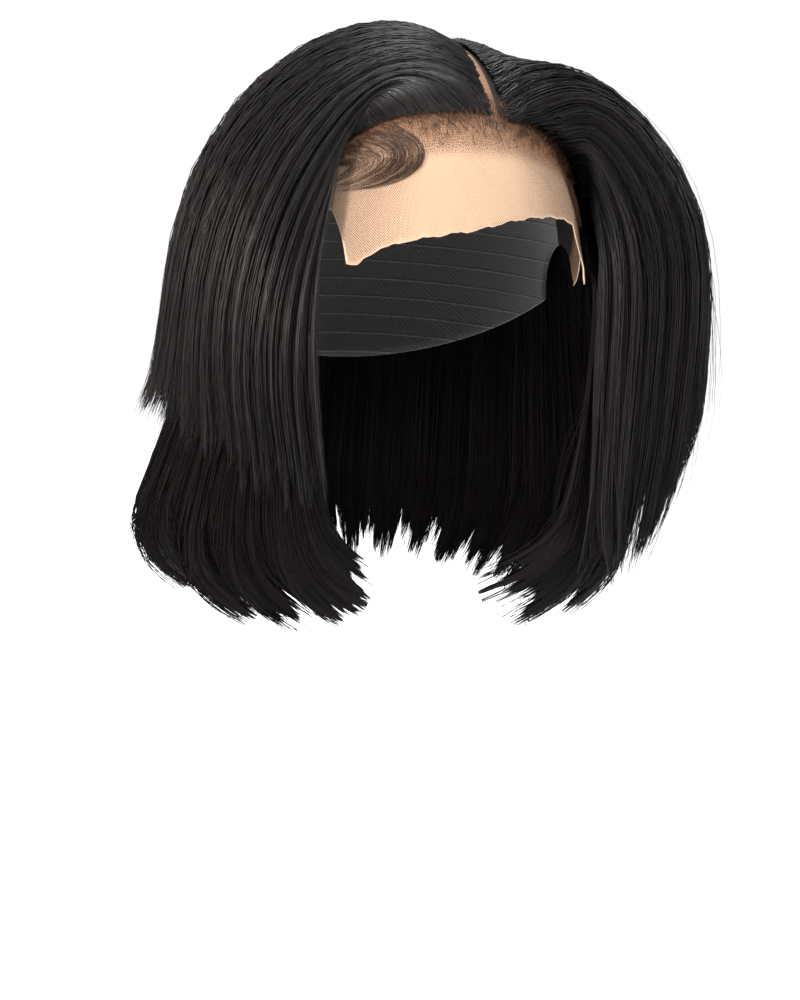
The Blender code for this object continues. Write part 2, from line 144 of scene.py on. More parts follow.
def off_head(unit, height):
    """The point at this height off the head, in a unit direction of the head's own proportions."""
    on_head = Vector((unit.x * HALF_WIDTH, unit.y * HALF_DEPTH, unit.z * CROWN_HEIGHT))
    return HEAD_CENTRE + on_head + steepness(unit).normalized() * height


def placed(name, mesh, *materials):
    """An object at the origin for a mesh whose place is in its points."""
    for material in materials:
        mesh.materials.append(material)
    piece = bpy.data.objects.new(name, mesh)
    bpy.context.scene.collection.objects.link(piece)
    return piece


def cloth_shell(name, laterals, rises_at, steps, height_at, wall):
    """A thin closed shell of cloth on the head. Its UV map, weave, is in millimetres along the cloth."""
    mesh = bpy.data.meshes.new(name)
    shape = bmesh.new()
    weave = shape.loops.layers.uv.new("weave")
    grid = []
    for lateral in laterals:
        low, high = rises_at(lateral)
        places = [(lateral, low + (high - low) * step / steps) for step in range(steps + 1)]
        column = []
        for place in places:
            unit, height = edge_direction(*place), height_at(*place)
            sides = [shape.verts.new(off_head(unit, height - wall * side)) for side in (0, 1)]
            column.append((*sides, place))
        grid.append(column)

    def cell(corners, side):
        face = shape.faces.new([corner[side] for corner in corners])
        for loop, corner in zip(face.loops, corners):
            loop[weave].uv = [math.radians(angle) * HALF_DEPTH * 1e3 for angle in corner[2]]

    for column, following in zip(grid, grid[1:]):
        for step in range(steps):
            corners = (column[step], following[step], following[step + 1], column[step + 1])
            cell(corners, 0)
            cell(corners[::-1], 1)
    rim = [column[0] for column in grid] + grid[-1][1:] + [column[-1] for column in grid[-2::-1]]
    rim += grid[0][-2:0:-1]
    for here, after in zip(rim, rim[1:] + rim[:1]):
        shape.faces.new((here[0], here[1], after[1], after[0]))
    bmesh.ops.recalc_face_normals(shape, faces=shape.faces)
    shape.to_mesh(mesh)
    shape.free()
    mesh.shade_smooth()
    return mesh


def new_finish(name, roughness, sheen=0):
    """A material with its Principled shader, ready for wires, and a wire to start from."""
    material = bpy.data.materials.new(name)
    material.use_nodes = True
    shader = material.node_tree.nodes["Principled BSDF"]
    shader.inputs["Roughness"].default_value = roughness
    shader.inputs["Sheen Weight"].default_value = sheen
    return material, shader, Wire(material.node_tree)


def feed(shader, name, wire):
    wire.tree.links.new(wire.socket, shader.inputs[name])


def stretch_net():
    """Fine black net with rows of brown-black stitching where the wefts are sewn on."""
    material, shader, start = new_finish("black_stretch_net", 0.75, 0.3)
    cloth = start.made("ShaderNodeUVMap", {"uv_map": "weave"})
    across = start.made("ShaderNodeSeparateXYZ", (), {0: cloth})
    up = across.beside(1)
    mesh_hole = (across * 2.1).maths("SINE") * (up * 2.1).maths("SINE")
    height = start.made("ShaderNodeTexCoord").beside("Object")
    level = start.made("ShaderNodeSeparateXYZ", (), {0: height}).beside(2)
    row = (level * (math.pi / WEFT_PITCH)).maths("SINE").maths("ABSOLUTE")
    stitched = 1 - row.smooth(0.0, 0.22)
    zigzag = (across * 3.2).maths("SINE") * stitched
    feed(shader, "Base Color", stitched.colours(CAP_BLACK, WEFT_BROWN))
    feed(shader, "Roughness", 0.8 - stitched * 0.25)
    relief = mesh_hole * 0.35 + stitched * 1.5 + zigzag * 0.5
    bump = start.made("ShaderNodeBump", (), {"Height": relief, "Distance": 0.0004, "Strength": 0.8})
    feed(shader, "Normal", bump)
    return material


def cap_span(_):
    """From the seam to the nape, the same at every lateral."""
    return SEAM_RISE, NAPE_RISE


cap_steps = range(-CAP_COLUMNS // 2, CAP_COLUMNS // 2 + 1)
cap_laterals = [EAR_LATERAL * step / (CAP_COLUMNS / 2) for step in cap_steps]
cap_mesh = cloth_shell("cap_shell", cap_laterals, cap_span, CAP_ROWS, lambda *_: CAP_WALL, CAP_NET)
cap = placed("cap_shell", cap_mesh, stretch_net())
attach(cap, "root")
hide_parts("wig_cap")


# Lace front: one sheet of sheer beige net from behind the crown to its uncut edge on the forehead. The top
# hair is knotted into it strand by strand, so it is dark behind the hairline and bare before it and in the
# parting.

LACE_LATERALS = range(-EAR_LATERAL, EAR_LATERAL + 1)
LACE_ROWS = 56
LACE_EDGE = (
    (-80, 6), (-70, 20), (-60, 28), (-50, 29), (-43, 27), (-40, 18), (-38, 10.5), (-35.5, 9.5), (-29, 13.5),
    (-20, 15), (0, 17), (16, 20.5), (34, 24), (46, 26), (50, 17), (52, 8), (55, 6), (58, 14), (61, 26),
    (70, 20), (80, 6),
)
HAIRLINE = (
    (-44, 42), (-36, 45), (-24, 46), (-8, 45), (12, 45), (22, 46), (34, 48), (46, 50), (54, 49), (60, 45),
)
FINE_FRONT = ((-38, 42), (-20, 42.5), (-12, 37), (10, 37), (26, 39), (42, 42), (50, 42))
PART_OFFSET = 0.015
PART_WIDTH = 0.0026
PART_FRONT = -0.068
PART_BACK = 0.026
LACE_WALL = 0.0010
LACE_NET = 0.0004
LACE_BEIGE = (0.30, 0.185, 0.115)
LACE_TAN = (0.125, 0.058, 0.030)
LACE_THREAD = (0.42, 0.31, 0.225)
PART_TAN = (0.120, 0.050, 0.021)
KNOT_BROWN = (0.050, 0.022, 0.012)
ROOT_BLACK = (0.005, 0.004, 0.004)
NET_PITCH = 1.25
KNOT_PITCH = 1.15


def between(pairs, value):
    """The second number at this value of the first, straight between the pairs of a rising list."""
    for (low, start), (high, end) in zip(pairs, pairs[1:]):
        if value <= high:
            return start + (end - start) * min(max((value - low) / (high - low), 0), 1)
    return pairs[-1][1]


def soft_step(low, high, value):
    share = min(max((value - low) / (high - low), 0), 1)
    return share * share * (3 - 2 * share)


def lace_height(lateral, rise):
    """How far the lace stands off the head: its two loose corners curl up a little, and it is wavy there."""
    corner = soft_step(24, 8, rise) if lateral < 0 else soft_step(26, 8, rise)
    loose = corner * (soft_step(62, 50, abs(lateral)) + 0.4)
    wave = 0.0004 * math.sin(lateral * 0.9 + rise * 0.5)
    return LACE_WALL - 0.0002 + loose * (0.0016 + wave)


def lace_edge(lateral):
    """The rise of the cut edge, which is a little uneven, as scissors leave it."""
    ripple = 0.22 * math.sin(lateral * 0.7)
    ripple += 0.16 * math.sin(lateral * 1.9 + 1) * math.sin(lateral * 0.31)
    return between(LACE_EDGE, lateral) + ripple


def hair_cover(point, lateral, rise):
    """How thickly hair is knotted into the lace: 0 at its bare front and in the parting, 1 where dense."""
    behind = soft_step(-1.5, 2.5, rise - between(HAIRLINE, lateral))
    beside = soft_step(PART_WIDTH * 0.3, PART_WIDTH * 0.9, abs(point.x - PART_OFFSET))
    in_parting = soft_step(PART_BACK + 0.006, PART_BACK, point.y)
    return behind * (1 - in_parting * (1 - beside))


def knotted_lace():
    """Beige net of fine threads, with brown knots where hair starts and black roots where it is dense."""
    material, shader, start = new_finish("knotted_lace", 0.62)
    cloth = start.made("ShaderNodeUVMap", {"uv_map": "weave"})
    across = start.made("ShaderNodeSeparateXYZ", (), {0: cloth})
    up = across.beside(1)
    cover = start.made("ShaderNodeAttribute", {"attribute_name": "cover"}, (), 2)
    growth = start.made("ShaderNodeAttribute", {"attribute_name": "growth"}, (), 2)
    edge = start.made("ShaderNodeAttribute", {"attribute_name": "edge"}, (), 2)
    temple = start.made("ShaderNodeAttribute", {"attribute_name": "temple"}, (), 2)
    rising = ((across + up) * (math.pi / NET_PITCH)).maths("SINE").maths("ABSOLUTE")
    falling = ((across - up) * (math.pi / NET_PITCH)).maths("SINE").maths("ABSOLUTE")
    thread = 1 - rising.maths("MINIMUM", falling).smooth(0.18, 0.48)
    dots = start.made(
        "ShaderNodeTexVoronoi", {"voronoi_dimensions": "2D"},
        {"Vector": cloth, "Scale": 1 / KNOT_PITCH, "Randomness": 0.55},
    )
    knot = (1 - dots.smooth(0.20, 0.34)) * growth.smooth(0.05, 0.6)
    patches = start.made("ShaderNodeTexNoise", {"noise_dimensions": "2D"}, {"Vector": cloth, "Scale": 0.11})
    beige = temple.colours(LACE_BEIGE, LACE_TAN)
    ground = (thread * (0.8 + 0.2 * temple)).maths("MAXIMUM", edge * 0.8).colours(beige, LACE_THREAD)
    tanned = (growth * 0.75 + (patches - 0.5) * 0.25).maths("MAXIMUM", 0).colours(ground, PART_TAN)
    knotted = (knot * 0.85).colours(tanned, KNOT_BROWN)
    rooted = cover.smooth(0.35, 0.95).colours(knotted, ROOT_BLACK)
    feed(shader, "Base Color", rooted)
    shader.inputs["Specular IOR Level"].default_value = 0.15
    sheer = 0.70 - temple * 0.30 + thread * 0.40
    feed(shader, "Alpha", sheer.maths("MAXIMUM", growth).maths("MAXIMUM", edge).maths("MINIMUM", 1))
    relief = thread * 0.5 + knot * 0.6 + edge * 0.5
    bump = start.made("ShaderNodeBump", (), {"Height": relief, "Distance": 0.00025, "Strength": 0.7})
    feed(shader, "Normal", bump)
    return material


def add_lace_cover(mesh):
    """Stores how thickly hair grows at each point, how near that is, the cut edge and the temples."""
    values = {"cover": [], "growth": [], "edge": [], "temple": []}
    for vertex in mesh.vertices:
        place = vertex.co - HEAD_CENTRE
        unit = Vector((place.x / HALF_WIDTH, place.y / HALF_DEPTH, place.z / CROWN_HEIGHT)).normalized()
        lateral = math.degrees(math.asin(unit.x))
        rise = math.degrees(math.atan2(unit.z, -unit.y))
        front = between(FINE_FRONT, lateral)
        values["cover"].append(hair_cover(vertex.co, lateral, rise))
        values["growth"].append(soft_step(front - 5, front + 4, rise))
        values["edge"].append(soft_step(1.0, 0.2, rise - lace_edge(lateral)))
        values["temple"].append(soft_step(12, 40, abs(lateral)))
    for name, numbers in values.items():
        mesh.attributes.new(name, "FLOAT", "POINT").data.foreach_set("value", numbers)


def lace_span(lateral):
    """From the cut edge to just short of the seam with the cap."""
    return lace_edge(lateral), SEAM_RISE - 0.2


lace_mesh = cloth_shell("lace_sheet", LACE_LATERALS, lace_span, LACE_ROWS, lace_height, LACE_NET)
add_lace_cover(lace_mesh)
lace = placed("lace_sheet", lace_mesh, knotted_lace())
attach(lace, "root")
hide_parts("lace_front")


# Lower hair: three curtains of straight black hair on wefts that are stitched round the sides and back of the
# cap. They fall to the nape and the jaw, and their ends are curled under, in towards the neck.

PIECE_GAP = 0.0003
VOLUME = 0.040
DROP = 0.150
UNDER_THICKNESS = 0.010
EDGE_THICKNESS = 0.0045
TIP_THICKNESS = 0.0045
LEAST_THICKNESS = 0.0025
ROOT_HEIGHT = 0.0032
LAYER_GAP = 0.0030
LOCK_COLUMNS = 6
LOCK_GROOVE = 0.0034
GROOVED = 0.3
THIN_EDGE = 0.12
TAPER_START = 0.55
TAPER_RUN = 0.45
TIP_STEP = 0.012
SETTLED = 0.08
DEEP_REACHES = (0.010, 0.018, 0.026)
GUIDE_STEPS = 33
EASE_PASSES = 6
EASE_ROUNDS = 3
EASE_SPARE = 0.0012
STRAND_CLEARANCE = 0.0009
LOWER_GATHERS = 6
LOWER_END = 0.80
ROOT_RISE = 0.10
MASS_START = 9
MASS_DEPTHS = (0.36, 0.64)
MASS_ROOT_DEPTH = 0.98
HAIR_BLACK = (0.0024, 0.0021, 0.0023)
HAIR_SOFT_BLACK = (0.0064, 0.0054, 0.0054)
HAIR_BROWN = (0.0200, 0.0100, 0.0070)
# Painted shade: the lower hair and the packed hair beneath the strands reflect far less than the top hair, so
# they read darker, as if shaded.
SHADED_SPECULAR = 0.02

Under = namedtuple("Under", "azimuth turn root_tilt side cheek jaw bulge end drop")
UNDER = (
    Under(-47, 17, 80, 0.10, 0.16, 0.18, 0.04, -0.90, 0.89),
    Under(-56, 10, 74, 0.20, 0.30, 0.42, 0.40, -0.40, 1.00),
    Under(-72, 6, 68, 0.30, 0.42, 0.68, 0.86, 0.02, 1.01),
    Under(-92, 0, 64, 0.34, 0.50, 0.80, 1.12, 0.30, 0.98),
    Under(-118, 0, 62, 0.36, 0.54, 0.82, 1.16, 0.38, 1.01),
    Under(-146, 0, 62, 0.36, 0.56, 0.72, 0.84, 0.24, 1.02),
    Under(-180, 0, 62, 0.36, 0.56, 0.66, 0.66, 0.10, 1.03),
    Under(-212, 0, 62, 0.44, 0.64, 0.72, 0.66, 0.10, 1.04),
    Under(-242, 0, 62, 0.58, 0.84, 0.94, 0.80, 0.20, 1.05),
    Under(-268, 0, 66, 0.70, 1.00, 1.14, 1.06, 0.54, 1.04),
    Under(-286, 0, 72, 0.54, 0.80, 0.92, 0.88, 0.28, 1.03),
    Under(-298, -6, 78, 0.30, 0.44, 0.50, 0.44, -0.36, 1.00),
    Under(-304, -12, 82, 0.10, 0.16, 0.20, 0.10, -0.90, 0.94),
)
UNDER_DROPS = (0.32, 0.60, 0.85, 1.0)
UNDER_TURNS = (0.0, 0.2, 0.5, 1.0)
Curtain = namedtuple("Curtain", "name first last locks strands points")
UNDER_CURTAINS = (
    Curtain("under_right", 0.00, 0.36, 8, 1050, 13),
    Curtain("under_back", 0.36, 0.66, 7, 900, 10),
    Curtain("under_left", 0.66, 1.00, 8, 1050, 13),
)


def direction(azimuth, tilt):
    """A unit vector: azimuth from the face, tilt down from the crown, both in degrees."""
    turn, lean = math.radians(azimuth), math.radians(tilt)
    return Vector((math.sin(turn) * math.sin(lean), -math.cos(turn) * math.sin(lean), math.cos(lean)))


def rise_of(unit):
    return math.degrees(math.atan2(unit.z, -unit.y))


def below_head(azimuth, height, drop):
    return off_head(direction(azimuth, 90), height) - Vector((0, 0, drop))


def head_place(point):
    """A point's unit vector on the head, its drop below the widest level, and its height off the head."""
    above = max(0, point.z - HEAD_CENTRE.z)
    scaled = Vector((point.x / HALF_WIDTH, point.y / HALF_DEPTH, above / CROWN_HEIGHT))
    unit = scaled.normalized()
    return unit, max(0, HEAD_CENTRE.z - point.z), (scaled.length - 1) / steepness(unit).length


def along(points, t):
    """The point at t, from 0 to 1, of a smooth curve through evenly numbered points."""
    last = len(points) - 1
    place = min(max(t, 0), 1) * last
    first = min(int(place), last - 1)
    before, start, end, after = [points[min(max(first + step, 0), last)] for step in (-1, 0, 1, 2)]
    part = place - first
    return (
        start
        + (end - before) * (0.5 * part)
        + (before * 2 - start * 5 + end * 4 - after) * (0.5 * part * part)
        + (start * 3 - before - end * 3 + after) * (0.5 * part * part * part)
    )


def mixed(rows, share):
    """A row of a table between its rows, smoothly."""
    return type(rows[0])(*[along(column, share) for column in zip(*rows)])


def under_row(azimuth):
    places = [(-row.azimuth, number / (len(UNDER) - 1)) for number, row in enumerate(UNDER)]
    return mixed(UNDER, between(places, -azimuth))


def under_controls(share, length):
    """The points that a lower strand passes through, root first."""
    azimuth = UNDER[0].azimuth + (UNDER[-1].azimuth - UNDER[0].azimuth) * share
    row = under_row(azimuth)
    drop = row.drop * DROP * length
    points = [
        off_head(direction(azimuth, row.root_tilt), ROOT_HEIGHT),
        off_head(direction(azimuth, 90), row.side * VOLUME),
    ]
    for fall, turn, height in zip(UNDER_DROPS, UNDER_TURNS, (row.cheek, row.jaw, row.bulge, row.end)):
        points.append(below_head(azimuth + row.turn * turn, height * VOLUME, drop * fall))
    return points


def under_floor(point, t):
    """The least height of the lower hair's inner side: clear of the cap, and free below it."""
    _, drop, _ = head_place(point)
    clear = CAP_WALL + PIECE_GAP + LAYER_GAP * min(1, t / SETTLED)
    return clear if drop < CROWN_HEIGHT / 2 else -1


def raised(point, least):
    """The point, moved out to at least this height off the head."""
    unit, _, height = head_place(point)
    return point + steepness(unit).normalized() * max(0, least - height)


def lock_columns(curtain, seed):
    """(share, crest, length) of each column of a curtain. Every lock is a little longer or shorter."""
    chance = random.Random(seed)
    lock_share = (curtain.last - curtain.first) / curtain.locks
    columns = []
    for lock in range(curtain.locks):
        length = 1 + chance.uniform(-0.035, 0.035)
        for column in range(LOCK_COLUMNS):
            phase = column / LOCK_COLUMNS
            crest = math.sin(math.pi * phase)
            columns.append((curtain.first + lock_share * (lock + phase), crest, length))
    columns.append((curtain.last, 0, 1))
    return columns


def eased(column):
    """A column of points whose sharp turns are rounded, as combed hair has none. Its two ends stay."""
    for _ in range(EASE_PASSES):
        threes = zip(column, column[1:], column[2:])
        middle = [(before + here * 2 + after) / 4 for before, here, after in threes]
        column = [column[0], *middle, column[-1]]
    return column


def steadied(outs, middle):
    """A column of directions that all point the same way out, with the middle one away from the head."""
    half = len(outs) // 2
    if outs[half].dot(middle - Vector((0, 0, middle.z))) < 0:
        outs[half] = -outs[half]
    for step in range(half + 1, len(outs)):
        outs[step] *= 1 if outs[step].dot(outs[step - 1]) > 0 else -1
    for step in range(half - 1, -1, -1):
        outs[step] *= 1 if outs[step].dot(outs[step + 1]) > 0 else -1
    return [out.normalized() for out in eased(outs)]


def guide_grid(name, columns):
    """A surface that strands follow. Each column is a list of (point, inward, deep, out) from roots to tips:
    inward and deep lead to inner strands, and out is the way a stray lifts. Its UV map is (across, along)."""
    mesh = bpy.data.meshes.new(name)
    rows = len(columns[0])
    points = [entry[0] for column in columns for entry in column]
    corners = [column * rows + row for column in range(len(columns) - 1) for row in range(rows - 1)]
    faces = [(corner, corner + 1, corner + rows + 1, corner + rows) for corner in corners]
    mesh.from_pydata(points, [], faces)
    place = mesh.uv_layers.new(name="place")
    for loop in mesh.loops:
        column, row = divmod(loop.vertex_index, rows)
        place.uv[loop.index].vector = (column / (len(columns) - 1), row / (rows - 1))
    for number, word in ((1, "inward"), (2, "deep"), (3, "out")):
        flat = [value for column in columns for entry in column for value in entry[number]]
        mesh.attributes.new(word, "FLOAT_VECTOR", "POINT").data.foreach_set("vector", flat)
    return mesh


def curtain_guide(curtain, controls_of, floor_of, thickness, seed, thin_ends):
    """The guide of a curtain: its outer side, with a shallow groove between locks, as in the solid."""
    rows = [step / GUIDE_STEPS for step in range(GUIDE_STEPS + 1)]
    columns = []
    for share, crest, length in lock_columns(curtain, seed):
        shortened = length * (1 - TIP_STEP / DROP * (1 - crest))
        here = controls_of(share, shortened)
        ahead = 0.004 if share < 0.5 else -0.004
        beside = controls_of(share + ahead, shortened)
        turned = 1 if ahead > 0 else -1
        from_edge = min(share, 1 - share if thin_ends else 1)
        depth = between([(0, EDGE_THICKNESS), (THIN_EDGE, thickness)], from_edge)

        def outward(t, here=here, beside=beside, turned=turned):
            tangent = along(here, t + 0.01) - along(here, t - 0.01)
            return tangent.cross((along(beside, t) - along(here, t)) * turned).normalized()

        outs = steadied([outward(t) for t in rows], along(here, 0.5))

        def held(points, thick):
            leasts = [floor_of(point, t) + thick * min(1, t / SETTLED) for t, point in zip(rows, points)]
            return [raised(point, least) for point, least in zip(points, leasts)]

        def cleared(points, thick):
            """The points, held at least this far above what lies beneath the curtain, and smoothed."""
            for _ in range(EASE_ROUNDS):
                points = eased(held(points, thick + EASE_SPARE))
            return held(points, thick)

        tops = []
        for t, out in zip(rows, outs):
            tops.append(along(here, t) - out * LOCK_GROOVE * (1 - crest) * min(1, t / GROOVED))
        tops = cleared(tops, LEAST_THICKNESS)
        inners, deeps = [], []
        for t, out, top in zip(rows, outs, tops):
            taper = max(0, (t - TAPER_START) / TAPER_RUN)
            inner = top - out * (depth + (min(TIP_THICKNESS, depth) - depth) * taper)
            deep = inner
            for reach in DEEP_REACHES:
                probe = top - out * (reach + (TIP_THICKNESS - reach) * taper)
                is_free = head_place(probe)[2] > floor_of(probe, t)
                if is_free and (probe - top).length > (deep - top).length:
                    deep = probe
            inners.append(inner)
            deeps.append(deep)
        inners, deeps = [cleared(points, STRAND_CLEARANCE) for points in (inners, deeps)]
        steps = zip(tops, inners, deeps, outs)
        columns.append([(top, inner - top, deep - top, out) for top, inner, deep, out in steps])
    return columns


STRAND_INPUTS = {
    "NodeSocketInt": ("Strands", "Points", "Locks", "Seed"),
    "NodeSocketFloat": (
        "Radius", "Start Spread", "Start Bias", "Length", "Tip Spread", "Lock Spread", "Lock Pull",
        "Lock Wave", "Fan", "Frizz", "Deep Share", "Root Rise", "Stray Share", "Stray Lift",
    ),
    "NodeSocketMaterial": ("Finish",),
}


def strand_tree():
    """Strands over a guide surface, from its roots to its tips: gathered in locks, at their own depths."""
    tree = bpy.data.node_groups.new("hair_strands", "GeometryNodeTree")
    tree.is_modifier = True
    tree.interface.new_socket("Geometry", in_out="OUTPUT", socket_type="NodeSocketGeometry")
    tree.interface.new_socket("Guide", in_out="INPUT", socket_type="NodeSocketGeometry")
    for kind, names in STRAND_INPUTS.items():
        for name in names:
            tree.interface.new_socket(name, in_out="INPUT", socket_type=kind)
    start = Wire(tree)
    guide = start.made("NodeGroupInput")
    given = {name: guide.beside(name) for names in STRAND_INPUTS.values() for name in names}

    line = start.made("GeometryNodeCurvePrimitiveLine", (), {"End": (1, 0, 0)})
    line = start.made("GeometryNodeResampleCurve", (), {"Curve": line, "Count": given["Points"]})
    strands = start.made(
        "GeometryNodeDuplicateElements", {"domain": "SPLINE"}, {"Geometry": line, "Amount": given["Strands"]}
    )
    strand = strands.beside("Duplicate Index")
    share = start.made("GeometryNodeSplineParameter")

    def chance(identity, salt):
        """A number from 0 to 1 that a strand, or a whole lock, keeps along its length."""
        sockets = {"ID": identity, "Seed": given["Seed"] + salt}
        return start.made("FunctionNodeRandomValue", {"data_type": "FLOAT"}, sockets, 1)

    across = (strand + chance(strand, 1)) / given["Strands"]
    lock = (across * given["Locks"]).maths("FLOOR")
    centre = (lock + 0.15 + chance(lock, 2) * 0.7) / given["Locks"]
    begin = given["Start Spread"] * chance(strand, 3) ** given["Start Bias"]
    reach = 1 - given["Tip Spread"] * chance(strand, 4) ** 1.6 - given["Lock Spread"] * chance(lock, 5)
    paced = share - (share * (2 * math.pi)).maths("SINE") * 0.05
    down = (begin + given["Length"] * reach * paced).maths("MINIMUM", 0.9995).maths("MAXIMUM", 0.0005)
    pull = given["Lock Pull"] * share.smooth(0.05, 1.1) * (0.35 + 0.65 * chance(strand, 6))
    fanned = (chance(strand, 7) - 0.5) * given["Fan"] * share
    sideways = across + (centre - across) * pull + fanned
    sideways = sideways.maths("MAXIMUM", 0.0005).maths("MINIMUM", 0.9995)
    at = start.made("ShaderNodeCombineXYZ", (), {0: sideways, 1: down})
    as_vector = {"data_type": "FLOAT_VECTOR"}

    def stored(name):
        return start.made("GeometryNodeInputNamedAttribute", as_vector, {"Name": name})

    def sampled(field):
        sockets = {"Mesh": guide, "Value": field, "UV Map": stored("place"), "Sample UV": at}
        return start.made("GeometryNodeSampleUVSurface", as_vector, sockets)

    inward = sampled(stored("inward"))
    is_deep = chance(strand, 8).maths("LESS_THAN", given["Deep Share"])
    rising = share.smooth(0, given["Root Rise"])
    depth = (1 - rising) * (1 - 0.7 * chance(strand, 15)) + rising * chance(strand, 9) ** 1.2
    deeper = sampled(stored("deep")).times(depth * is_deep)
    sunk = inward.times(depth * (1 - is_deep)).vector("ADD", deeper)

    def wandering(identity, pace, salt):
        """A smooth offset, from -0.5 to 0.5 each way, that changes along the strand."""
        where = start.made("ShaderNodeCombineXYZ", (), {0: identity * 7.31, 1: down * pace, 2: salt})
        noise = start.made("ShaderNodeTexNoise", (), {"Vector": where, "Scale": 1, "Detail": 1}, 1)
        return noise.vector("SUBTRACT", (0.5, 0.5, 0.5))

    lift = sampled(stored("out"))
    is_stray = chance(strand, 10).maths("LESS_THAN", given["Stray Share"])
    flown = lift.times(is_stray * given["Stray Lift"] * chance(strand, 11) * share.smooth(0.1, 1))
    frizz = given["Frizz"] * (0.15 + share * share) * (1 + 3 * is_stray)
    frizzed = wandering(strand, 4, 3.7).times(frizz)
    waved = wandering(lock, 2.2, 9.1).times(given["Lock Wave"] * share.smooth(0.1, 1))
    spot = sampled(start.made("GeometryNodeInputPosition"))
    for offset in (sunk, flown, frizzed, waved):
        spot = spot.vector("ADD", offset)
    hair = start.made("GeometryNodeSetPosition", (), {"Geometry": strands, "Position": spot})
    for name, value in (("tint", chance(strand, 12)), ("lock_tint", chance(lock, 13)), ("down", down)):
        hair = start.made(
            "GeometryNodeStoreNamedAttribute", {"data_type": "FLOAT", "domain": "POINT"},
            {"Geometry": hair, "Name": name, "Value": value},
        )
    thick = given["Radius"] * (0.7 + 0.6 * chance(strand, 14)) * (1 - 0.65 * share.smooth(0.7, 1))
    thick = thick * (1 - 0.5 * is_stray)
    hair = start.made("GeometryNodeSetCurveRadius", (), {"Curve": hair, "Radius": thick})
    ring = start.made("GeometryNodeCurvePrimitiveCircle", (), {"Resolution": 3, "Radius": 1.0})
    radius = start.made("GeometryNodeInputRadius")
    sockets = {"Curve": hair, "Profile Curve": ring, "Scale": radius, "Fill Caps": True}
    tubes = start.made("GeometryNodeCurveToMesh", (), sockets)
    tubes = start.made("GeometryNodeSetShadeSmooth", (), {"Geometry": tubes})
    tubes = start.made("GeometryNodeRealizeInstances", (), {"Geometry": tubes})
    tubes = start.made("GeometryNodeSetMaterial", (), {"Geometry": tubes, "Material": given["Finish"]})
    start.made("NodeGroupOutput", (), {"Geometry": tubes})
    return tree


def grown(name, columns, tree, finish, **sizes):
    """A plain mesh of the strands that the tree grows over a guide. Sizes are named as its inputs are."""
    rooted = placed(name + "_guide", guide_grid(name, columns))
    modifier = rooted.modifiers.new("strands", "NODES")
    modifier.node_group = tree
    values = {key.replace("_", " ").title(): value for key, value in sizes.items()}
    values["Finish"] = finish
    for item in tree.interface.items_tree:
        if item.in_out == "INPUT" and item.name in values:
            modifier[item.identifier] = values[item.name]
    depsgraph = bpy.context.evaluated_depsgraph_get()
    strands = bpy.data.meshes.new_from_object(rooted.evaluated_get(depsgraph))
    rooted.modifiers.clear()
    bpy.data.objects.remove(rooted)
    strands.name = name
    return placed(name, strands)


def glossy_hair(name, dark, light, warm, roughness, specular):
    """Straight hair: each strand and each lock has its own depth of black, a little browner at its ends."""
    material, shader, start = new_finish(name, roughness)
    words = ("tint", "lock_tint", "down")
    reads = [start.made("ShaderNodeAttribute", {"attribute_name": word}, (), 2) for word in words]
    tint, lock_tint, down = reads
    depth = tint * tint * 0.6 + lock_tint * lock_tint * 0.6
    black = depth.colours(dark, light)
    browned = (tint.smooth(0.90, 1) * (0.2 + 0.4 * down)).colours(black, warm)
    feed(shader, "Base Color", browned)
    feed(shader, "Roughness", roughness - 0.10 + tint * 0.12 + lock_tint * 0.16)
    shader.inputs["Specular IOR Level"].default_value = specular
    return material


def packed_hair(name, end):
    """The hair that lies close beneath the outer strands: fine parallel streaks, frayed out past this end."""
    material, shader, start = new_finish(name, 0.45)
    place = start.made("ShaderNodeUVMap", {"uv_map": "place"})
    across = start.made("ShaderNodeSeparateXYZ", (), {0: place})
    down = across.beside(1)

    def streaks(count, run):
        where = start.made("ShaderNodeCombineXYZ", (), {0: across * count, 1: down * run})
        sockets = {"Vector": where, "Scale": 1, "Detail": 3}
        return start.made("ShaderNodeTexNoise", {"noise_dimensions": "2D"}, sockets)

    fine, broad = streaks(260, 5), streaks(38, 2)
    shade = (fine * 0.6 + broad * 0.4).smooth(0.35, 0.75)
    feed(shader, "Base Color", shade.colours(HAIR_BLACK, HAIR_SOFT_BLACK))
    feed(shader, "Roughness", 0.38 + fine * 0.2)
    frayed = (end + broad * 0.30 + (fine - 0.5) * 0.30) - down
    rooted = down + (fine - 0.5) * 0.10 - 0.045
    feed(shader, "Alpha", frayed.smooth(-0.012, 0.012) * rooted.smooth(-0.02, 0.02))
    relief = fine + broad * 1.5
    bump = start.made("ShaderNodeBump", (), {"Height": relief, "Distance": 0.0012, "Strength": 0.9})
    feed(shader, "Normal", bump)
    # Painted shade: the weak reflection darkens the packed hair, as if it were shaded by the strands over it.
    shader.inputs["Specular IOR Level"].default_value = SHADED_SPECULAR
    return material


